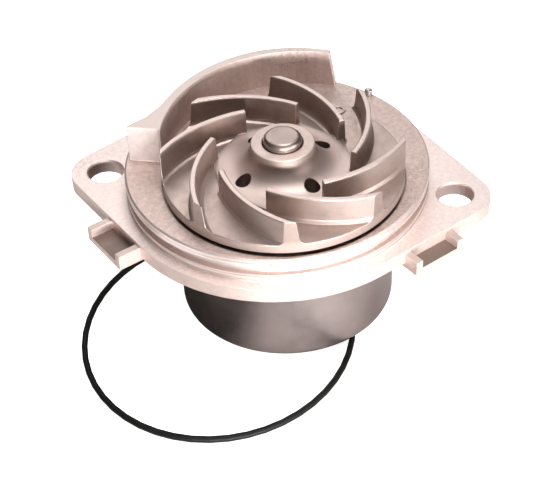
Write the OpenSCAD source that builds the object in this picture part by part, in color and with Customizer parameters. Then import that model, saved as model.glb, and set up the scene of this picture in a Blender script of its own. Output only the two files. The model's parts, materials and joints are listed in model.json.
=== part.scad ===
// Engine coolant pump: flanged aluminium housing with an open volute wall, eight-bladed
// impeller, smooth belt pulley, integral double-row ball bearing, face seal and loose sealing ring.
// Millimetres. Origin: centre of the spigot in the plane of the flange's mounting face.
// +Z runs from the mounting face towards the impeller, +X towards the right-hand ear.

/* [Housing] */
// Radius of the spigot that enters the engine block
spigot_r = 46; // [45.5:0.1:46.5]
// Height of the spigot above the mounting face
spigot_h = 8.2; // [8.0:0.1:8.4]
// Radius of the round flange
flange_r = 49.2; // [48.8:0.1:50]
// Thickness of the flange and ears
flange_t = 4.5; // [4:0.1:5.5]
// Distance from the centre to each ear hole
ear_x = 54; // [53.5:0.1:54.5]
// Radius of the ear bolt holes
ear_hole_r = 5.5; // [5:0.1:5.6]
// Radius of the rounded ear tips
ear_tip_r = 10.6; // [10:0.1:11]
// Width of the groove for the sealing ring
groove_w = 2.6; // [2.3:0.1:2.8]
// Depth of the groove for the sealing ring
groove_d = 1.5; // [1.3:0.1:1.7]

/* [Volute] */
// Height of the volute wall top above the mounting face
wall_top = 20.6; // [19:0.1:21]
// Thickness of the volute wall along most of its run
wall_t = 2.8; // [2.4:0.1:3]
// Thickness of the volute wall at its thin end
wall_end_t = 1.4; // [1.2:0.1:2]
// Width of the thick end block of the wall
block_w = 9.5; // [8.5:0.1:9.8]

/* [Lugs] */
// How far the right-hand pocket lug reaches out of the ear edge
lug_right_out = 5.4; // [5:0.1:6]
// How far the left-hand pocket lug reaches out of the ear edge
lug_left_out = 7.2; // [6.5:0.1:7.5]
// Thickness of the lug side walls
lug_wall = 2.3; // [2:0.1:2.8]
// Overall width of each lug
lug_w = 18; // [16:0.1:19]

/* [Shaft line] */
// Offset of the shaft axis from the spigot centre along X
shaft_x = 3.3; // [2.8:0.1:3.6]
// Offset of the shaft axis from the spigot centre along Y
shaft_y = -7.6; // [-8:0.1:-7.2]
// Radius of the shaft in the bearing
shaft_r = 8; // [7.9:0.05:8.1]
// Radius of the shaft at the impeller and the seal
shaft_end_r = 6; // [5.8:0.1:6.2]

/* [Impeller] */
// Outer radius of the impeller disc
disc_r = 36; // [35:0.1:36.2]
// Running height of the disc above the spigot face
disc_gap = 0.8; // [0.6:0.1:1.2]
// Thickness of the impeller disc
disc_t = 2.9; // [2.5:0.1:3.2]
// Height of the blades above the disc
blade_h = 8.2; // [7.5:0.1:8.6]
// Thickness of a blade at its top edge
blade_t = 1.6; // [1.4:0.1:1.9]
// Radius of the arc each blade follows
blade_arc_r = 40; // [39:0.5:42]
// Radius at which the blades begin
blade_in_r = 21.1; // [20.8:0.1:21.6]
// Radius of the impeller hub's top ring
hub_r = 9.5; // [9.2:0.1:9.7]
// Circle radius of the four balance holes
balance_x = 14.4; // [14.3:0.1:14.8]

/* [Pulley] */
// Radius of the smooth belt track
pulley_r = 32.8; // [32:0.1:33]
// Thickness of the pulley rim
pulley_wall = 3; // [2.5:0.1:3.4]

/* [Sealing ring] */
// Half the width of the loose sealing ring as it lies, slightly oval
oring_a = 41; // [40:0.1:41.5]
// Half the length of the sealing ring as it lies
oring_b = 45.2; // [44.5:0.1:45.8]
// Cord radius of the sealing ring
oring_cord_r = 1.0; // [0.9:0.05:1.05]

/* [Hidden] */
$fn = 48;
disc_z = spigot_h + disc_gap;
disc_top = disc_z + disc_t;
blade_top = disc_top + blade_h;
hub_top = blade_top + 1.1;
shaft_top = hub_top + 2.3;
shaft_tip_r = 5.7;
pulley_z = -34.1;
pulley_top = -7.2;
web_t = 3.4;
edge_r = 1.6;
oring_z = pulley_z - 0.3 - oring_cord_r;
oring_x = -14.9;
oring_y = -29.9;

// bearing
ball_r = 2.38;
race_r = 2.42;
pitch_r = 10;
ring_r = 15;
ring_in = 12;
bearing_top = -9.2;
bearing_bottom = -28.2;
row_up = -14.2;
row_low = -23.2;
n_balls = 9;
shield_t = 0.9;
shield_r = 13.2;
boss_r = 19;
boss_z = -28.6;

// seal
recess_r = 31;
relief_r = disc_r + 0.3;
recess_z = spigot_h - 2.5;
seal_bore_r = 14;
chamber_r = 10.5;
chamber_z = bearing_top;
case_t = 0.8;
case_z = -3.2;
seat_r = 11.9;
balance_r = 2.35;
mating_r = 11.1;
seat_top = 12.3;
seal_face = 8.6;
spring_r = 11.9;
spring_wire = 0.45;
spring_z0 = -1.3;
spring_z1 = 4.2;
spring_turns = 4;

// groove positions on the spigot
groove_z = 2.8;

// ear outline
back_a = 40.5;
back_off = ear_x * cos(back_a) + ear_tip_r;
blend_a = acos(flange_r / back_off);
front_a = acos((flange_r - ear_tip_r) / ear_x);

// lug placement, measured from the foot of the ear's front edge
lug_right_s = 8.6;
lug_left_s = 0.8;
lug_top = -1;
lug_floor = -3.7;
lug_bottom = -5.8;

// volute spiral, measured about the shaft axis
spiral_r0 = 37.4;
spiral_rise = 12.2;
spiral_a0 = 176;
spiral_a1 = 77;
spiral_foot_a = 78.8;
spiral_lean = 9.5;
spiral_n = 30;
tongue_x = -34.9;
tongue_y = -4.3;
waist1 = [-39.6, 1.4];
waist2 = [-36.6, 7.2];

// blade arc
blade_n = 8;
tip_a = 146.5;
root_a = 86.2;
tip_p = disc_r * [cos(tip_a), sin(tip_a)];
root_p = blade_in_r * [cos(root_a), sin(root_a)];
chord = norm(tip_p - root_p);
chord_a = atan2(tip_p[1] - root_p[1], tip_p[0] - root_p[0]);
arc_rise = sqrt(blade_arc_r * blade_arc_r - chord * chord / 4);
arc_c = (tip_p + root_p) / 2 + arc_rise * [cos(chord_a + 90), sin(chord_a + 90)];
arc_a0 = atan2(root_p[1] - arc_c[1], root_p[0] - arc_c[0]);
arc_a1 = atan2(tip_p[1] - arc_c[1], tip_p[0] - arc_c[0]);

col_cast = [0.84, 0.79, 0.77];
col_imp = [0.55, 0.50, 0.47];
col_pulley = [0.50, 0.48, 0.48];
col_steel = [0.70, 0.70, 0.72];
col_rubber = [0.06, 0.06, 0.06];
col_carbon = [0.16, 0.16, 0.17];
col_ceramic = [0.90, 0.89, 0.85];
col_cage = [0.20, 0.32, 0.24];

// hub dome: a round cove that lies flat on the plateau at its foot and ends under the hub's rim
plateau_z = disc_top + 1.0;
cove_foot_r = 17.5;
cove_rise = hub_top - 1.3 - plateau_z;
cove_run = cove_foot_r - hub_r;
cove_r = (cove_run * cove_run + cove_rise * cove_rise) / (2 * cove_rise);

function haver(t) = (1 - cos(180 * t)) / 2;
function spiral_in(t) = spiral_r0 + spiral_rise * (sin(90 * min(1, t)) + haver(min(1, t))) / 2;
function wall_at(t) = wall_t - (wall_t - wall_end_t) * max(0, (t - 0.68) / 0.32);
function spiral_ang(t) = spiral_a0 + (spiral_a1 - spiral_a0) * t;
function polar(r, a) = [shaft_x + r * cos(a), shaft_y + r * sin(a)];

module at_shaft() { translate([shaft_x, shaft_y, 0]) children(); }

// one straight-sided ear wedge, drawn towards +X; its front edge touches the flange circle
module ear_wedge() {
    translate([0, 0, -flange_t])
        linear_extrude(flange_t)
            polygon([[0, 0],
                     flange_r * [cos(front_a), -sin(front_a)],
                     [ear_x + ear_tip_r * cos(front_a), -ear_tip_r * sin(front_a)],
                     [ear_x, 0],
                     [ear_x + ear_tip_r * cos(back_a), ear_tip_r * sin(back_a)],
                     back_off * [cos(back_a), sin(back_a)],
                     flange_r * [cos(back_a + blend_a), sin(back_a + blend_a)]]);
    translate([ear_x, 0, -flange_t]) cylinder(r = ear_tip_r, h = flange_t);
}

// pocket lug on the front edge of the right ear; s is its start along the edge, out its reach
module lug(s, out) {
    rotate([0, 0, -front_a])
        difference() {
            translate([flange_r - 4, s, lug_bottom])
                cube([out + 4, lug_w, lug_top - lug_bottom]);
            translate([flange_r, s + lug_wall, lug_floor])
                cube([out + 1, lug_w - 2 * lug_wall, 10]);
        }
}

module volute_wall() {
    inner = [for (i = [0 : spiral_n]) let (t = i / spiral_n)
                polar(spiral_in(t), spiral_ang(t))];
    outer = [for (i = [spiral_n : -1 : 8]) let (t = i / spiral_n)
                polar(spiral_in(t) + wall_at(t), spiral_ang(t))];
    difference() {
        translate([0, 0, spigot_h - 0.5])
            linear_extrude(wall_top - spigot_h + 0.5)
                polygon(concat([[tongue_x, tongue_y]], inner, outer,
                               [waist2, waist1,
                                [tongue_x - block_w + 0.4, tongue_y + 0.8],
                                [tongue_x - block_w, tongue_y]]));
        // the thin end leans back from its foot
        at_shaft() rotate([0, 0, spiral_foot_a]) translate([30, 0, spigot_h])
            rotate([-spiral_lean, 0, 0]) translate([0, -10, -3]) cube([40, 10, 33]);
    }
}

module ear_hole(x) {
    translate([x, 0, 0])
        rotate_extrude()
            polygon([[0, -flange_t - 1], [ear_hole_r, -flange_t - 1], [ear_hole_r, -0.35],
                     [ear_hole_r + 0.6, 0.25], [ear_hole_r + 0.6, 1], [0, 1]]);
}

module housing() color(col_cast) difference() {
    union() {
        // flange disc and ears
        translate([0, 0, -flange_t]) cylinder(r = flange_r, h = flange_t);
        ear_wedge();
        mirror([1, 0, 0]) ear_wedge();
        // spigot with its ring groove and turned relief
        rotate_extrude()
            polygon([[0, -1], [spigot_r, -1], [spigot_r, 0.6], [spigot_r - 0.4, 0.8],
                     [spigot_r - 0.4, 1.7], [spigot_r, 1.9], [spigot_r, groove_z],
                     [spigot_r - groove_d, groove_z + 0.1],
                     [spigot_r - groove_d, groove_z + groove_w - 0.1],
                     [spigot_r, groove_z + groove_w], [spigot_r, spigot_h - 0.5],
                     [spigot_r - 0.5, spigot_h], [0, spigot_h]]);
        volute_wall();
        // bearing boss on the shaft axis
        at_shaft() rotate_extrude()
            polygon([[0, boss_z], [boss_r - 0.8, boss_z], [boss_r, boss_z + 0.8],
                     [boss_r, -8.5], [boss_r + 1.2, -6], [boss_r + 4, -4.2], [0, -4.2]]);
        // six short webs from the boss to the flange
        for (a = [30 : 60 : 330]) at_shaft() rotate([0, 0, a]) rotate([90, 0, 0])
            translate([0, 0, -1.5]) linear_extrude(3)
                polygon([[boss_r - 2, -4], [boss_r - 2, -19], [boss_r + 0.6, -19],
                         [27.2, -8], [27.2, -4]]);
        lug(lug_right_s, lug_right_out);
        mirror([1, 0, 0]) lug(lug_left_s, lug_left_out);
    }
    ear_hole(ear_x);
    ear_hole(-ear_x);
    at_shaft() {
        // relief and recess under the impeller, seal bore, slinger chamber, bearing bore
        translate([0, 0, spigot_h - 1.1]) cylinder(r = relief_r, h = 10);
        translate([0, 0, recess_z]) cylinder(r = recess_r, h = 10);
        translate([0, 0, -4.6]) cylinder(r = seal_bore_r, h = 20);
        translate([0, 0, chamber_z - 1]) cylinder(r = chamber_r, h = 10);
        translate([0, 0, boss_z - 1]) cylinder(r = ring_r, h = bearing_top - boss_z + 1);
        // weep drilling from the slinger chamber out through the boss
        rotate([0, 0, 30]) translate([0, 0, -6.9]) rotate([90, 0, 0]) cylinder(r = 1.6, h = 30);
    }
    // hole of the locating pin
    translate([pin_x, pin_y, 2]) cylinder(r = pin_r, h = 10);
}

pin_r = 1.2;
pin_x = 44.6 * cos(57.5);
pin_y = 44.6 * sin(57.5);
module locating_pin() color(col_steel)
    translate([pin_x, pin_y, 2]) rotate_extrude()
        polygon([[0, 0], [pin_r, 0], [pin_r, 8.0], [pin_r - 0.4, 8.4], [0, 8.4]]);

module bearing_outer_ring() color(col_steel) at_shaft() difference() {
    rotate_extrude()
        polygon([[ring_in, bearing_bottom + 1.6], [shield_r, bearing_bottom + 1.6],
                 [shield_r, bearing_bottom], [ring_r - 0.5, bearing_bottom],
                 [ring_r, bearing_bottom + 0.5], [ring_r, bearing_top - 0.5],
                 [ring_r - 0.5, bearing_top], [shield_r, bearing_top],
                 [shield_r, bearing_top - 1.6], [ring_in, bearing_top - 1.6]]);
    for (z = [row_up, row_low]) translate([0, 0, z])
        rotate_extrude() translate([pitch_r, 0]) circle(r = race_r);
}

module shield(z) at_shaft() translate([0, 0, z]) rotate_extrude()
    polygon([[shaft_r + 0.08, 0], [shield_r, 0], [shield_r, shield_t],
             [shaft_r + 1.6, shield_t], [shaft_r + 1.2, 0.5], [shaft_r + 0.08, 0.4]]);
module bearing_seal_upper() color(col_rubber) shield(bearing_top - 1.3);
module bearing_seal_lower() color(col_rubber) shield(bearing_bottom + 0.4);

module seal_case() color(col_steel) at_shaft() rotate_extrude()
    polygon([[8.6, case_z], [seal_bore_r, case_z], [seal_bore_r, recess_z],
             [seal_bore_r + 2.2, recess_z], [seal_bore_r + 2.2, recess_z + 0.6],
             [seal_bore_r - case_t, recess_z + 0.6], [seal_bore_r - case_t, case_z + case_t],
             [8.6, case_z + case_t]]);

module seal_bellows() color(col_rubber) at_shaft() rotate_extrude()
    polygon([[8.2, case_z + case_t], [13.2, case_z + case_t], [13.2, case_z + case_t + 0.6],
             [9.9, case_z + case_t + 0.6], [9.3, -0.6], [10.6, 0.6], [10.6, 1.2], [9.4, 2.4],
             [10.2, 3.4], [10.8, 4.4], [10.8, 5.15], [8.0, 5.15], [8.0, 4.2], [9.2, 3.9],
             [8.4, 2.4], [9.7, 0.9], [8.3, -0.6]]);

// coil spring swept as one closed body from computed sections
module seal_spring() color(col_steel) at_shaft() {
    seg = 22;
    sides = 8;
    steps = seg * spring_turns;
    pitch = (spring_z1 - spring_z0) / spring_turns;
    pts = [for (i = [0 : steps]) for (j = [0 : sides - 1])
              let (a = 360 * i / seg, b = 360 * j / sides,
                   r = spring_r + spring_wire * cos(b))
              [r * cos(a), r * sin(a),
               spring_z0 + pitch * i / seg + spring_wire * sin(b)]];
    quads = [for (i = [0 : steps - 1]) for (j = [0 : sides - 1])
                let (k = (j + 1) % sides)
                [i * sides + j, i * sides + k, (i + 1) * sides + k, (i + 1) * sides + j]];
    caps = [[for (j = [sides - 1 : -1 : 0]) j], [for (j = [0 : sides - 1]) steps * sides + j]];
    polyhedron(points = pts, faces = [for (q = concat(quads, caps)) [for (n = [len(q) - 1 : -1 : 0]) q[n]]]);
}

module seal_retainer() color(col_steel) at_shaft() rotate_extrude()
    polygon([[10.9, 3.9], [11.3, 3.9], [11.3, 4.75], [12.7, 4.75], [12.7, 5.15],
             [11.9, 5.15], [11.9, 7.2], [11.5, 7.2], [11.5, 5.15], [10.9, 5.15]]);

module carbon_ring() color(col_carbon) at_shaft() rotate_extrude()
    polygon([[7.4, 5.15], [11.5, 5.15], [11.5, 7.3], [10.6, 7.5], [10.6, seal_face],
             [8.2, seal_face], [8.2, 7.5], [7.4, 7.3]]);

module mating_ring() color(col_ceramic) at_shaft() rotate_extrude()
    polygon([[7.3, seal_face + 0.05], [mating_r - 0.3, seal_face + 0.05],
             [mating_r, seal_face + 0.35], [mating_r, seat_top - 0.8], [7.3, seat_top - 0.8]]);

module seat_boot() color(col_rubber) at_shaft() rotate_extrude()
    polygon([[mating_r, seal_face + 0.9], [seat_r, seal_face + 0.9], [seat_r, seat_top],
             [shaft_end_r, seat_top], [shaft_end_r, seat_top - 0.8], [mating_r, seat_top - 0.8]]);

module slinger() color(col_rubber) at_shaft() rotate_extrude()
    polygon([[shaft_end_r, -8.0], [7.2, -8.0], [9.6, -6.6], [9.4, -6.1], [7.2, -6.6],
             [shaft_end_r, -6.4]]);

module pump_shaft() color(col_steel) at_shaft() difference() {
    rotate_extrude()
        polygon([[0, pulley_z + 0.4], [shaft_r - 0.7, pulley_z + 0.4], [shaft_r, pulley_z + 1.1],
                 [shaft_r, -8.9], [shaft_r - 0.4, -8.5], [shaft_end_r, -8.5],
                 [shaft_end_r, hub_top - 1.6], [shaft_tip_r, hub_top - 1.3],
                 [shaft_tip_r, shaft_top - 1.1], [shaft_tip_r - 0.25, shaft_top - 0.7],
                 [shaft_tip_r - 0.8, shaft_top - 0.15], [shaft_tip_r - 1.3, shaft_top],
                 [0, shaft_top]]);
    for (z = [row_up, row_low]) translate([0, 0, z])
        rotate_extrude() translate([pitch_r, 0]) circle(r = race_r);
    // centre drilling in the pulley end
    translate([0, 0, pulley_z]) rotate_extrude()
        polygon([[0, 0], [2.4, 0], [2.4, 0.5], [1.0, 2.4], [1.0, 4.4], [0, 5]]);
}

// one blade: a drafted arc wall, wider at its foot, with a small root fillet on each side
module blade() {
    w = blade_t / 2;
    intersection() {
        translate([arc_c[0], arc_c[1], 0]) rotate([0, 0, arc_a0])
            rotate_extrude(angle = arc_a1 - arc_a0 + 14)
                polygon([[blade_arc_r - w - 2.0, disc_top - 0.6],
                         [blade_arc_r - w - 2.0, disc_top + 0.02],
                         [blade_arc_r - w - 1.2, disc_top + 0.32],
                         [blade_arc_r - w - 0.7, disc_top + 1.0],
                         [blade_arc_r - w - 0.5, disc_top + 2.2],
                         [blade_arc_r - w - 0.1, blade_top - 0.25],
                         [blade_arc_r - w + 0.15, blade_top],
                         [blade_arc_r + w - 0.15, blade_top],
                         [blade_arc_r + w + 0.05, blade_top - 0.25],
                         [blade_arc_r + w + 0.25, disc_top + 0.9],
                         [blade_arc_r + w + 0.9, disc_top + 0.02],
                         [blade_arc_r + w + 0.9, disc_top - 0.6]]);
        translate([0, 0, disc_z]) cylinder(r = disc_r, h = 20);
    }
}

module impeller() color(col_imp) at_shaft() difference() {
    union() {
        rotate_extrude()
            polygon([[0, disc_z], [disc_r - 0.2, disc_z], [disc_r, disc_z + 0.2],
                     [disc_r, disc_top - 0.2], [disc_r - 0.2, disc_top], [0, disc_top + 0.1]]);
        // raised eight-sided plateau whose corners are the blade roots
        translate([0, 0, disc_top - 0.5]) rotate([0, 0, root_a])
            cylinder(r = blade_in_r + 0.6, h = plateau_z - disc_top + 0.5, $fn = 8);
        // hub dome
        rotate_extrude()
            difference() {
                polygon([[0, disc_top], [19.4, disc_top], [19.4, plateau_z],
                         [cove_foot_r, plateau_z], [hub_r, plateau_z + cove_rise],
                         [hub_r, hub_top - 0.3], [hub_r - 0.3, hub_top], [0, hub_top]]);
                translate([cove_foot_r, plateau_z + cove_r + 0.02]) circle(r = cove_r);
            }
        for (k = [0 : blade_n - 1]) rotate([0, 0, 45 * k]) blade();
        // cast ring mark on the disc
        translate([33.0 * cos(67), 33.0 * sin(67), disc_top - 0.5])
            difference() { cylinder(r = 2.1, h = 0.85, $fn = 40);
                           cylinder(r = 1.35, h = 3, $fn = 40); }
    }
    // bore, wider than the shaft's tip and chamfered at its mouth
    translate([0, 0, disc_z - 1]) cylinder(r = shaft_end_r, h = 20);
    translate([0, 0, hub_top - 0.3]) cylinder(r1 = shaft_end_r, r2 = shaft_end_r + 0.6, h = 0.6);
    // seat for the mating ring
    translate([0, 0, disc_z - 1]) cylinder(r = seat_r, h = seat_top - disc_z + 1);
    // four balance holes
    for (a = [44 : 90 : 314]) rotate([0, 0, a]) translate([balance_x, 0, disc_z - 1])
        cylinder(r = balance_r, h = 14);
}

module pulley() color(col_pulley) at_shaft() rotate_extrude()
    polygon(concat(
        [[shaft_r, pulley_z + 0.2], [shaft_r + 0.4, pulley_z], [13.5, pulley_z],
         [14.1, pulley_z + 0.9], [27.2, pulley_z + 0.9], [27.8, pulley_z]],
        [for (a = [270 : 15 : 360]) [pulley_r - edge_r + edge_r * cos(a),
                                     pulley_z + edge_r + edge_r * sin(a)]],
        [[pulley_r, pulley_top - 0.5], [pulley_r - 0.5, pulley_top - 0.5],
         [pulley_r - pulley_wall + 0.4, pulley_top - 0.5],
         [pulley_r - pulley_wall, pulley_top - 0.9],
         [pulley_r - pulley_wall, pulley_z + web_t + 2], [pulley_r - pulley_wall - 0.6, pulley_z + web_t + 0.6],
         [pulley_r - pulley_wall - 2, pulley_z + web_t],
         [12.6, pulley_z + web_t], [12, pulley_z + web_t + 0.5], [12, -29.4],
         [shaft_r, -29.4]]));

// the ring has relaxed into a slight oval where it lies
module o_ring() color(col_rubber)
    translate([oring_x, oring_y, oring_z]) scale([oring_a / oring_b, 1, 1]) rotate_extrude()
        translate([oring_b, 0]) circle(r = oring_cord_r);

module ball_row(z) at_shaft() for (i = [0 : n_balls - 1])
    rotate([0, 0, 360 * i / n_balls]) translate([pitch_r, 0, z]) sphere(r = ball_r);
module cage_row(z) at_shaft() difference() {
    translate([0, 0, z]) rotate_extrude()
        translate([pitch_r - 0.8, -3.1]) square([1.6, 6.2]);
    for (i = [0 : n_balls - 1])
        rotate([0, 0, 360 * i / n_balls]) translate([pitch_r - 3, 0, z]) rotate([0, 90, 0])
            cylinder(r = ball_r + 0.08, h = 6);
}
module balls_upper() color(col_steel) ball_row(row_up);
module balls_lower() color(col_steel) ball_row(row_low);
module cage_upper() color(col_cage) cage_row(row_up);
module cage_lower() color(col_cage) cage_row(row_low);

housing();
locating_pin();
bearing_outer_ring();
bearing_seal_upper();
bearing_seal_lower();
seal_case();
seal_bellows();
seal_spring();
seal_retainer();
carbon_ring();
o_ring();
pump_shaft();
impeller();
pulley();
mating_ring();
seat_boot();
slinger();
balls_upper();
cage_upper();
balls_lower();
cage_lower();
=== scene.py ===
"""Looks of the coolant pump: procedural materials on the CAD nodes, pale floor, soft lights and camera."""
import bpy
import json
import math
from functools import reduce
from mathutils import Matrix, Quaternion, Vector


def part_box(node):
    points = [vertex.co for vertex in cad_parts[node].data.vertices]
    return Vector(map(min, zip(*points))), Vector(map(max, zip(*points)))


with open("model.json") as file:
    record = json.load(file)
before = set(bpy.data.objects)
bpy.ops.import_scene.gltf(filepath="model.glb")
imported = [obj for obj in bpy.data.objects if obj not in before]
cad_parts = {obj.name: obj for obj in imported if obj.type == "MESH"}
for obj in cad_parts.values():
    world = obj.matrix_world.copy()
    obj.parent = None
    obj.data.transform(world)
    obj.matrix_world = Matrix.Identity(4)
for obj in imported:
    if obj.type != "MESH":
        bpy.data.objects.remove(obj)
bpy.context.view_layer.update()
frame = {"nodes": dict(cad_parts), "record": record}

MM = 0.001
ORIGIN = Vector((0.0, 0.0, 0.0))

# ---------------------------------------------------------------- places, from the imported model
MOUNTS = {mount["name"]: mount["dims"] for mount in frame["record"]["mounts"]}
SPIGOT_R = MOUNTS["spigot"]["r_mm"] * MM
SPIGOT_TOP = 8.2 * MM
PULLEY_LOW, PULLEY_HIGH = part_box("pulley")
SHAFT = Vector(((PULLEY_LOW.x + PULLEY_HIGH.x) / 2, (PULLEY_LOW.y + PULLEY_HIGH.y) / 2, 0.0))
WALL_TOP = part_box("housing")[1].z
# the impeller's hub stands this far above its blades, and its disc is this thick
HUB_RISE = 1.1 * MM
DISC_THICKNESS = 2.9 * MM
BLADE_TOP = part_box("impeller")[1].z - HUB_RISE
DISC_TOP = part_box("impeller")[0].z + DISC_THICKNESS
FLOOR_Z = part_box("o_ring")[0].z

# ---------------------------------------------------------------- ramps
# Each ramp is a pair of values: where a finish hasn't begun, and where it has taken over.
# how much of a face's normal points up, or to the front for FACING_FRONT
FLAT_UP = (0.93, 0.99)
UPRIGHT = (0.35, 0.15)
FACING_FRONT = (0.7, 0.9)
FLANK_LEAN = (0.5, 0.2)
DOME_LEAN = (0.4, 0.8)
CREST_FLAT = (0.9, 0.98)
END_FACE = (0.4, 0.6)
# how alike the true normal and the rounded one are
SHARP_CORNER = (0.97, 0.75)
# distances from the mounting face and from the spigot's top
EAR_FACE = (0.7 * MM, 0.4 * MM)
RING_FACE = (0.5 * MM, 0.3 * MM)
# the spigot's turned side, from its groove's floor outwards and from the flange to its top
SPIGOT_CORE = (SPIGOT_R - 2.1 * MM, SPIGOT_R - 1.9 * MM)
SPIGOT_OUTSIDE = (SPIGOT_R + 0.4 * MM, SPIGOT_R + 0.1 * MM)
SPIGOT_FOOT = (-0.2 * MM, 0.1 * MM)
SPIGOT_HEAD = (SPIGOT_TOP + 0.2 * MM, SPIGOT_TOP)
# the volute wall's crest, the front of its thick end block, and the floors of the lug pockets
WALL_CREST = (WALL_TOP - 0.6 * MM, WALL_TOP - 0.3 * MM)
BLOCK_SIDE = (-33.5 * MM, -34.5 * MM)
BLOCK_FOOT = (SPIGOT_TOP + 0.2 * MM, SPIGOT_TOP + 0.8 * MM)
POCKET_FLOOR = (-2.0 * MM, -3.0 * MM)
# the impeller's blades and its dome
FLANK_FOOT = (DISC_TOP, DISC_TOP + 1.5 * MM)
BLADE_CREST = (BLADE_TOP - 0.5 * MM, BLADE_TOP - 0.2 * MM)
DOME_OUTSIDE = (20.5 * MM, 19.0 * MM)
DOME_FOOT = (DISC_TOP, DISC_TOP + 0.5 * MM)

# the part of a noise's range that makes the whole change from one tone to another
SPREAD = (0.3, 0.7)

# ---------------------------------------------------------------- tones, in linear RGB
ALUMINIUM = (0.74, 0.62, 0.57)
CAST_DARK = (0.60, 0.49, 0.45)
CAST_PALE = (0.72, 0.60, 0.56)
CAST_PIT = (0.48, 0.38, 0.34)
POCKET_PAINTED_SHADE = (0.25, 0.195, 0.17)
EAR_DARK = (0.77, 0.66, 0.62)
EAR_PALE = (0.91, 0.80, 0.765)
EAR_STAIN = (0.80, 0.67, 0.66)
RING_DARK = (0.56, 0.445, 0.405)
RING_PALE = (0.71, 0.585, 0.545)
TURNED_DARK = (0.60, 0.49, 0.455)
TURNED_PALE = (0.97, 0.87, 0.84)
# the block's milled front end, painted paler as if lit by the front light
BLOCK_LIT_DARK = (0.80, 0.69, 0.65)
BLOCK_LIT_PALE = (0.95, 0.85, 0.82)
WALL_CREST_TONE = (0.70, 0.60, 0.565)
WORN_AND_HIGHLIT_ALUMINIUM = (0.93, 0.85, 0.82)
GRIME = (0.30, 0.23, 0.20)

IMPELLER_BASE = (0.52, 0.41, 0.37)
IMPELLER_DARK = (0.47, 0.375, 0.34)
IMPELLER_PALE = (0.57, 0.465, 0.425)
IMPELLER_BLOTCH = (0.37, 0.285, 0.255)
FLANK_PAINTED_SHADE = (0.33, 0.26, 0.235)
DOME_TOP_LIT = (0.68, 0.56, 0.52)
BLADE_CREST_DARK = (0.60, 0.49, 0.45)
BLADE_CREST_PALE = (0.72, 0.60, 0.56)
WORN_AND_HIGHLIT_IMPELLER = (0.90, 0.79, 0.745)

PAPER = (0.86, 0.86, 0.855)
PAPER_DARK = (0.80, 0.79, 0.785)
PAPER_PALE = (0.82, 0.81, 0.805)
PAPER_GLOW_TONE = (1.0, 0.995, 0.985)
# painted shadow under the flange, seen only in reflections
FLANGE_SHADOW_TONE = (0.10, 0.095, 0.09)


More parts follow.
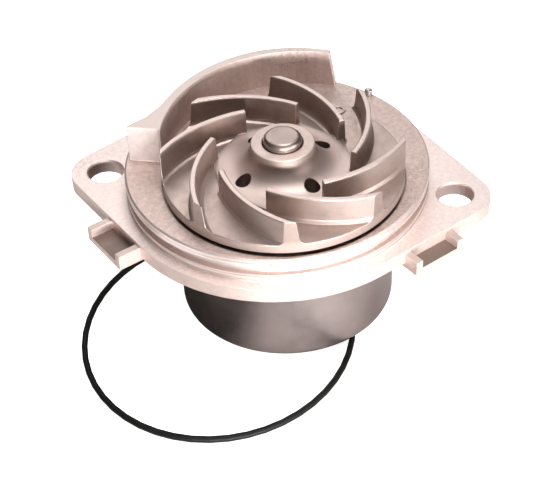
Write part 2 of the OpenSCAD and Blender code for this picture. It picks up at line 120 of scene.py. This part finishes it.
# ---------------------------------------------------------------- node helpers
class Mat:
    """A material with one Principled shader and short calls for the nodes that feed it."""

    # where the Mix node keeps its factor, its two inputs and its output, for each kind of value
    MIX_SOCKETS = {"RGBA": (0, 6, 7, 2), "FLOAT": (0, 2, 3, 0)}

    def __init__(self, name, base, metallic, rough, **sockets):
        self.mat = bpy.data.materials.new(name)
        self.mat.use_nodes = True
        self.tree = self.mat.node_tree
        self.tree.nodes.clear()
        self.out = self.add("ShaderNodeOutputMaterial")
        self.bsdf = self.add("ShaderNodeBsdfPrincipled")
        self.link(self.bsdf.outputs[0], self.out.inputs["Surface"])
        self.set(self.bsdf, "Base Color", (*base, 1.0))
        self.set(self.bsdf, "Metallic", metallic)
        self.set(self.bsdf, "Roughness", rough)
        for key, value in sockets.items():
            self.set(self.bsdf, key.replace("_", " "), value)
        self.coords = self.add("ShaderNodeTexCoord").outputs["Object"]
        self.geometry = self.add("ShaderNodeNewGeometry")

    def add(self, kind):
        return self.tree.nodes.new(kind)

    def link(self, a, b):
        self.tree.links.new(a, b)

    def set(self, node, socket, value):
        """Feeds a socket with another node's output, or gives it a plain value."""
        if isinstance(value, bpy.types.NodeSocket):
            self.link(value, node.inputs[socket])
        else:
            node.inputs[socket].default_value = value

    def noise(self, scale, detail=3.0, rough=0.55, vector=None):
        n = self.add("ShaderNodeTexNoise")
        self.set(n, "Vector", vector or self.coords)
        self.set(n, "Scale", scale)
        self.set(n, "Detail", detail)
        self.set(n, "Roughness", rough)
        return n.outputs["Fac"]

    def math(self, operation, a, b=0.0):
        n = self.add("ShaderNodeMath")
        n.operation = operation
        self.set(n, 0, a)
        self.set(n, 1, b)
        return n.outputs[0]

    def vector_math(self, operation, a, b):
        n = self.add("ShaderNodeVectorMath")
        n.operation = operation
        self.set(n, 0, a)
        self.set(n, 1, b)
        return n

    def remap(self, value, low, high, to_low=0.0, to_high=1.0):
        n = self.add("ShaderNodeMapRange")
        n.clamp = True
        self.set(n, "Value", value)
        self.set(n, "From Min", low)
        self.set(n, "From Max", high)
        self.set(n, "To Min", to_low)
        self.set(n, "To Max", to_high)
        return n.outputs["Result"]

    def mix(self, factor, a, b, kind="RGBA"):
        n = self.add("ShaderNodeMix")
        n.data_type = kind
        *inputs, result = self.MIX_SOCKETS[kind]
        for index, value in zip(inputs, (factor, a, b)):
            self.set(n, index, (*value, 1.0) if isinstance(value, tuple) else value)
        return n.outputs[result]

    def mottle(self, pattern, a, b, spread=SPREAD, amount=1.0):
        """Changes from one tone to another, or by part of the way, as a noise rises."""
        return self.mix(self.remap(pattern, *spread, 0.0, amount), a, b)

    def all_of(self, *masks):
        """A mask that holds where every one of the masks does."""
        return reduce(lambda a, b: self.math("MULTIPLY", a, b), masks)

    def any_of(self, *masks):
        """A mask that holds where at least one of the masks does."""
        return reduce(lambda a, b: self.math("MAXIMUM", a, b), masks)

    def heights(self, *parts):
        """The sum of several heights, each times its own weight."""
        weighted = [self.math("MULTIPLY", height, weight) for height, weight in parts]
        return reduce(lambda a, b: self.math("ADD", a, b), weighted)

    def xyz(self, vector=None):
        n = self.add("ShaderNodeSeparateXYZ")
        self.link(vector or self.coords, n.inputs[0])
        return n.outputs

    def normal_xyz(self):
        return self.xyz(self.geometry.outputs["Normal"])

    def stretched(self, x, y, z):
        """Coordinates scaled unevenly, for noise drawn out into streaks."""
        return self.vector_math("MULTIPLY", self.coords, (x, y, z)).outputs[0]

    def distance(self, value, level):
        return self.math("ABSOLUTE", self.math("SUBTRACT", value, level))

    def radius(self, centre):
        """Distance from an upright axis through a point."""
        x, y, _ = self.xyz(self.vector_math("SUBTRACT", self.coords, tuple(centre)).outputs[0])
        return self.math("SQRT", self.math("ADD", self.math("MULTIPLY", x, x), self.math("MULTIPLY", y, y)))

    def edge(self, size):
        """A mask of sharp edges, where the rounded normal leaves the true one, and the rounded normal."""
        n = self.add("ShaderNodeBevel")
        n.samples = 4
        self.set(n, "Radius", size)
        rounded = n.outputs["Normal"]
        likeness = self.vector_math("DOT_PRODUCT", rounded, self.geometry.outputs["Normal"])
        return self.remap(likeness.outputs["Value"], *SHARP_CORNER), rounded

    def bump(self, height, distance, strength, normal=None):
        n = self.add("ShaderNodeBump")
        self.set(n, "Height", height)
        self.set(n, "Distance", distance)
        self.set(n, "Strength", strength)
        if normal is not None:
            self.link(normal, n.inputs["Normal"])
        return n.outputs["Normal"]

    def finish(self, color, rough=None, normal=None):
        self.set(self.bsdf, "Base Color", color)
        if rough is not None:
            self.set(self.bsdf, "Roughness", rough)
        if normal is not None:
            self.set(self.bsdf, "Normal", normal)
        return self.mat


def rings(m, distance_out, pitch):
    """Turning marks: a sine of the distance from an axis, broken up so no two rings are alike."""
    wobble = m.math("MULTIPLY", m.noise(90.0, 2.0), pitch * 2.5)
    turns = m.math("MULTIPLY", m.math("ADD", distance_out, wobble), 2 * math.pi / pitch)
    return m.math("MULTIPLY", m.math("ADD", m.math("SINE", turns), 1.0), 0.5)


def scaled(tone, factor, lift=0.0):
    """A tone made lighter or darker, and no lighter than white."""
    return tuple(min(1.0, c * factor + lift) for c in tone)


# ---------------------------------------------------------------- materials
def cast_aluminium():
    """Fine die-cast skin with turned and milled faces where the real casting is machined; the block's milled
    front end is also painted paler, a painted highlight from the front light.
    """
    m = Mat("cast_aluminium", ALUMINIUM, 0.80, 0.5)
    x, _, z = m.xyz()
    _, back, up = m.normal_xyz()
    flat = m.remap(up, *FLAT_UP)
    upright = m.remap(m.math("ABSOLUTE", up), *UPRIGHT)
    out = m.radius(ORIGIN)
    on_ears = m.all_of(flat, m.remap(m.math("ABSOLUTE", z), *EAR_FACE))
    on_ring = m.all_of(flat, m.remap(m.distance(z, SPIGOT_TOP), *RING_FACE))
    on_spigot = m.all_of(upright, m.remap(out, *SPIGOT_CORE), m.remap(out, *SPIGOT_OUTSIDE),
                         m.remap(z, *SPIGOT_FOOT), m.remap(z, *SPIGOT_HEAD))
    on_crest = m.all_of(flat, m.remap(z, *WALL_CREST))
    # the block's milled front end, which also gets a painted highlight as if lit by the front light
    on_block = m.all_of(m.remap(m.math("MULTIPLY", back, -1.0), *FACING_FRONT),
                        m.remap(x, *BLOCK_SIDE), m.remap(z, *BLOCK_FOOT))
    in_pocket = m.all_of(flat, m.remap(z, *POCKET_FLOOR))
    machined = m.any_of(on_ears, on_block, on_ring, on_spigot)

    cloud = m.noise(38.0, 4.0, 0.6)
    blotch = m.noise(260.0, 6.0, 0.7)
    fleck = m.noise(700.0, 5.0, 0.7)
    speck = m.noise(1500.0, 2.0, 0.6)
    streak = m.noise(55.0, 4.0, 0.6, m.stretched(0.7, 0.7, 22.0))

    color = m.mottle(cloud, CAST_DARK, CAST_PALE)
    color = m.mottle(fleck, color, CAST_PIT, (0.45, 0.75), 0.5)
    # painted shade: the pocket floors are darkened as if shaded by the pocket walls
    color = m.mix(in_pocket, color, POCKET_PAINTED_SHADE)
    ear = m.mottle(blotch, m.mottle(fleck, EAR_DARK, EAR_PALE), EAR_STAIN, (0.5, 0.68), 0.6)
    for mask, tone in (
        (on_ears, ear),
        (on_ring, m.mottle(fleck, RING_DARK, RING_PALE, (0.35, 0.65))),
        (on_spigot, m.mottle(streak, TURNED_DARK, TURNED_PALE, (0.36, 0.62))),
        # painted highlight on the block's milled front end
        (on_block, m.mottle(fleck, BLOCK_LIT_DARK, BLOCK_LIT_PALE)),
        (on_crest, WALL_CREST_TONE),
    ):
        color = m.mix(mask, color, tone)
    edge, rounded = m.edge(0.35 * MM)
    # sharp edges lighter: partly wear, partly a painted highlight
    color = m.mix(m.math("MULTIPLY", edge, 0.45), color, WORN_AND_HIGHLIT_ALUMINIUM)
    # grime settles in the pores
    color = m.mottle(m.math("MULTIPLY", speck, cloud), color, GRIME, (0.34, 0.44), 0.4)

    cast_rough = m.remap(blotch, *SPREAD, 0.46, 0.62)
    machined_rough = m.remap(blotch, *SPREAD, 0.30, 0.42)
    rough = m.mix(machined, cast_rough, machined_rough, "FLOAT")
    rough = m.mix(m.any_of(on_ears, on_crest, on_ring), rough, 0.54, "FLOAT")

    grain = m.heights((speck, 0.7), (blotch, 0.5))
    concentric = rings(m, out, 0.32 * MM)
    along = m.heights((rings(m, z, 0.30 * MM), 0.6), (streak, 1.6))
    marks = m.mix(on_spigot, m.math("MULTIPLY", concentric, on_ring), along, "FLOAT")
    height = m.mix(machined, grain, m.heights((marks, 0.30), (speck, 0.22)), "FLOAT")
    return m.finish(color, rough, m.bump(height, 0.06 * MM, 0.9, rounded))


def impeller_casting():
    """Brown-grey satin casting, a little lighter along the blade edges, partly from wear and partly as a
    painted highlight.
    """
    m = Mat("impeller_casting", IMPELLER_BASE, 0.88, 0.45)
    z = m.xyz()[2]
    up = m.normal_xyz()[2]
    on_flank = m.all_of(m.remap(up, *FLANK_LEAN), m.remap(z, *FLANK_FOOT))
    on_dome = m.all_of(m.remap(m.radius(SHAFT), *DOME_OUTSIDE), m.remap(z, *DOME_FOOT))
    on_crest = m.all_of(m.remap(up, *CREST_FLAT), m.remap(z, *BLADE_CREST))

    cloud = m.noise(45.0, 4.0, 0.6)
    blotch = m.noise(300.0, 5.0, 0.65)
    speck = m.noise(1900.0, 2.0, 0.6)

    color = m.mottle(cloud, IMPELLER_DARK, IMPELLER_PALE)
    color = m.mottle(blotch, color, IMPELLER_BLOTCH, (0.45, 0.72), 0.5)
    # painted shade darkens the blade flanks, as if they lay in the shade between the blades, and the blades'
    # crests are turned
    color = m.mix(m.math("MULTIPLY", on_flank, 0.5), color, FLANK_PAINTED_SHADE)
    # painted light: the dome is made paler where it faces up, as if lit from above
    color = m.mix(m.all_of(on_dome, m.remap(up, *DOME_LEAN)), color, DOME_TOP_LIT)
    color = m.mix(on_crest, color, m.mottle(blotch, BLADE_CREST_DARK, BLADE_CREST_PALE))
    edge, rounded = m.edge(0.30 * MM)
    # sharp edges lighter: partly wear, partly a painted highlight
    color = m.mix(m.math("MULTIPLY", edge, 0.55), color, WORN_AND_HIGHLIT_IMPELLER)

    rough = m.mix(on_dome, m.remap(blotch, *SPREAD, 0.36, 0.50), 0.56, "FLOAT")
    grain = m.heights((speck, 0.8), (blotch, 0.6))
    return m.finish(color, rough, m.bump(grain, 0.05 * MM, 0.8, rounded))


def turned_steel(name, base, pitch, rough, grain=0.4):
    """Turned or ground steel with fine marks round the shaft's axis, on end faces and on the outside."""
    m = Mat(name, base, 1.0, sum(rough) / 2)
    z = m.xyz()[2]
    lean = m.math("ABSOLUTE", m.normal_xyz()[2])
    cloud = m.noise(60.0, 4.0, 0.6)
    blotch = m.noise(420.0, 4.0, 0.6)
    edge, rounded = m.edge(0.25 * MM)
    color = m.mottle(cloud, scaled(base, 0.8), base)
    # painted highlight: lighter along sharp edges
    color = m.mix(m.math("MULTIPLY", edge, 0.5), color, scaled(base, 1.6))
    outside = rings(m, z, pitch)
    end_face = rings(m, m.radius(SHAFT), pitch)
    marks = m.mix(m.remap(lean, *END_FACE), outside, end_face, "FLOAT")
    height = m.heights((marks, 0.5), (blotch, grain))
    return m.finish(color, m.remap(blotch, *SPREAD, *rough), m.bump(height, 0.012 * MM, 0.6, rounded))


def rubber(name, base):
    """Moulded rubber: a soft skin with a faint bloom."""
    rough = (0.45, 0.6)
    m = Mat(name, base, 0.0, sum(rough) / 2, Specular_IOR_Level=0.25)
    bloom = m.noise(120.0, 4.0, 0.6)
    grain = m.noise(2600.0, 2.0)
    color = m.mottle(bloom, base, scaled(base, 2.4, 0.004), (0.4, 0.8), 0.5)
    return m.finish(color, m.remap(bloom, *SPREAD, *rough), m.bump(grain, 0.02 * MM, 0.35))


def moulded(name, base, rough):
    """Lapped carbon, ceramic or moulded polyamide: even colour, fine grain and soft edges."""
    m = Mat(name, base, 0.0, sum(rough) / 2)
    cloud = m.noise(150.0, 4.0, 0.6)
    grain = m.noise(2400.0, 3.0)
    edge, rounded = m.edge(0.15 * MM)
    color = m.mottle(cloud, scaled(base, 0.85), base)
    # painted highlight: lighter along sharp edges
    color = m.mix(m.math("MULTIPLY", edge, 0.3), color, scaled(base, 1.3, 0.04))
    return m.finish(color, m.remap(cloud, *SPREAD, *rough), m.bump(grain, 0.015 * MM, 0.4, rounded))


def finishes():
    """Each material with the CAD nodes that it covers."""
    return (
        (cast_aluminium(), ("housing",)),
        (impeller_casting(), ("impeller",)),
        (turned_steel("pulley_steel", (0.50, 0.43, 0.415), 0.16 * MM, (0.28, 0.34), grain=0.04), ("pulley",)),
        (turned_steel("shaft_steel", (0.50, 0.41, 0.375), 0.14 * MM, (0.34, 0.46)), ("pump_shaft",)),
        (turned_steel("pin_steel", (0.62, 0.57, 0.55), 0.2 * MM, (0.3, 0.45)), ("locating_pin",)),
        (turned_steel("bearing_steel", (0.62, 0.61, 0.60), 0.1 * MM, (0.16, 0.28)),
         ("bearing_outer_ring", "balls_upper", "balls_lower")),
        (turned_steel("seal_steel", (0.60, 0.58, 0.55), 0.3 * MM, (0.25, 0.4)),
         ("seal_case", "seal_retainer", "seal_spring")),
        (rubber("ring_rubber", (0.006, 0.0058, 0.0056)), ("o_ring",)),
        (rubber("seal_rubber", (0.016, 0.016, 0.017)),
         ("bearing_seal_upper", "bearing_seal_lower", "seal_bellows", "seat_boot", "slinger")),
        (moulded("carbon", (0.035, 0.035, 0.038), (0.25, 0.4)), ("carbon_ring",)),
        (moulded("seal_ceramic", (0.80, 0.77, 0.70), (0.2, 0.35)), ("mating_ring",)),
        (moulded("cage_polymer", (0.07, 0.14, 0.09), (0.4, 0.6)), ("cage_upper", "cage_lower")),
    )


for material, nodes in finishes():
    for node in nodes:
        mesh = frame["nodes"][node].data
        mesh.materials.clear()
        mesh.materials.append(material)
        for polygon in mesh.polygons:
            polygon.material_index = 0


# ---------------------------------------------------------------- floor
FLOOR_SIZE = 6.0
FLOOR_CLEARANCE = 0.05 * MM
PAPER_GLOW = 0.75
# where the painted shadow under the flange fades in to the left of the shaft's axis, and how far from the
# axis it reaches
FLANGE_SHADOW_EDGE = (SHAFT.x - 4 * MM, SHAFT.x - 22 * MM)
FLANGE_SHADOW_REACH = (85 * MM, 65 * MM)


def pale_floor():
    """White paper that glows for the camera alone, so that it looks clean and doesn't light the part."""
    bpy.ops.mesh.primitive_plane_add(size=FLOOR_SIZE, location=(0, 0, FLOOR_Z - FLOOR_CLEARANCE))
    floor = bpy.context.object
    floor.name = "floor"
    m = Mat("floor_paper", PAPER, 0.0, 0.9)
    seen = m.add("ShaderNodeLightPath").outputs["Is Camera Ray"]
    tone = m.mix(m.noise(3.0, 2.0), PAPER_DARK, PAPER_PALE)
    # painted shadow: the floor under the flange on the left is dark for all but camera rays, standing in for
    # the flange's shade, and shows only in the pulley's reflection
    in_flange_shadow = m.all_of(m.remap(m.xyz()[0], *FLANGE_SHADOW_EDGE), m.remap(m.radius(SHAFT), *FLANGE_SHADOW_REACH),
                       m.math("SUBTRACT", 1.0, seen))
    m.finish(m.mix(in_flange_shadow, tone, FLANGE_SHADOW_TONE))
    m.set(m.bsdf, "Emission Color", (*PAPER_GLOW_TONE, 1.0))
    m.set(m.bsdf, "Emission Strength", m.math("MULTIPLY", seen, PAPER_GLOW))
    # seen from below, the paper lets the part's underside show
    clear = m.add("ShaderNodeBsdfTransparent")
    side = m.add("ShaderNodeMixShader")
    m.link(m.geometry.outputs["Backfacing"], side.inputs[0])
    m.link(m.bsdf.outputs[0], side.inputs[1])
    m.link(clear.outputs[0], side.inputs[2])
    m.link(side.outputs[0], m.out.inputs["Surface"])
    floor.data.materials.append(m.mat)


# ---------------------------------------------------------------- light
WORLD_TONE = (1.0, 0.985, 0.97)
WORLD_STRENGTH = 0.07
# name, place, width and height, and power in watts of each soft light; all of them face the origin
SOFT_LIGHTS = (
    ("front", (0.40, -0.86, 0.06), (0.8, 0.10), 19.5),
    ("right", (0.80, -0.30, 0.22), (0.4, 0.3), 2.6),
    ("top", (0.08, 0.02, 0.85), (0.45, 0.4), 4.6),
    ("back", (-0.30, 0.72, 0.66), (0.8, 0.5), 2.2),
)


def area_light(name, place, size, power):
    data = bpy.data.lights.new(name, "AREA")
    data.shape = "RECTANGLE"
    data.size, data.size_y = size
    data.energy = power
    light = bpy.data.objects.new(name, data)
    light.location = place
    light.rotation_euler = (ORIGIN - Vector(place)).to_track_quat("-Z", "Y").to_euler()
    bpy.context.scene.collection.objects.link(light)


def lights():
    """A faint even glow from all round, and the soft lights."""
    world = bpy.data.worlds.new("studio")
    world.use_nodes = True
    background = world.node_tree.nodes["Background"]
    background.inputs["Color"].default_value = (*WORLD_TONE, 1.0)
    background.inputs["Strength"].default_value = WORLD_STRENGTH
    bpy.context.scene.world = world
    for row in SOFT_LIGHTS:
        area_light(*row)


# ---------------------------------------------------------------- camera
# where the camera points, how far away it is, and the angles of the photograph
CAMERA_TARGET = Vector((3.85, -31.1, 0.0)) * MM
CAMERA_DISTANCE = 429.8 * MM
CAMERA_AZIMUTH = math.radians(10.1)
CAMERA_ELEVATION = math.radians(40.52)
CAMERA_ROLL = math.radians(-2.52)
CAMERA_LENS = 97.2
SENSOR_WIDTH = 36.0


def camera():
    data = bpy.data.cameras.new("camera")
    data.lens = CAMERA_LENS
    data.sensor_width = SENSOR_WIDTH
    data.sensor_fit = "HORIZONTAL"
    data.clip_start = 0.01
    cam = bpy.data.objects.new("camera", data)
    back = Vector((math.sin(CAMERA_AZIMUTH) * math.cos(CAMERA_ELEVATION),
                   -math.cos(CAMERA_AZIMUTH) * math.cos(CAMERA_ELEVATION), math.sin(CAMERA_ELEVATION)))
    cam.location = CAMERA_TARGET + back * CAMERA_DISTANCE
    cam.rotation_mode = "QUATERNION"
    level = (-back).to_track_quat("-Z", "Y")
    cam.rotation_quaternion = Quaternion(-back, -CAMERA_ROLL) @ level
    bpy.context.scene.collection.objects.link(cam)
    bpy.context.scene.camera = cam


pale_floor()
lights()
camera()
bpy.context.scene.view_settings.view_transform = "Standard"
bpy.context.scene.view_settings.look = "Medium High Contrast"
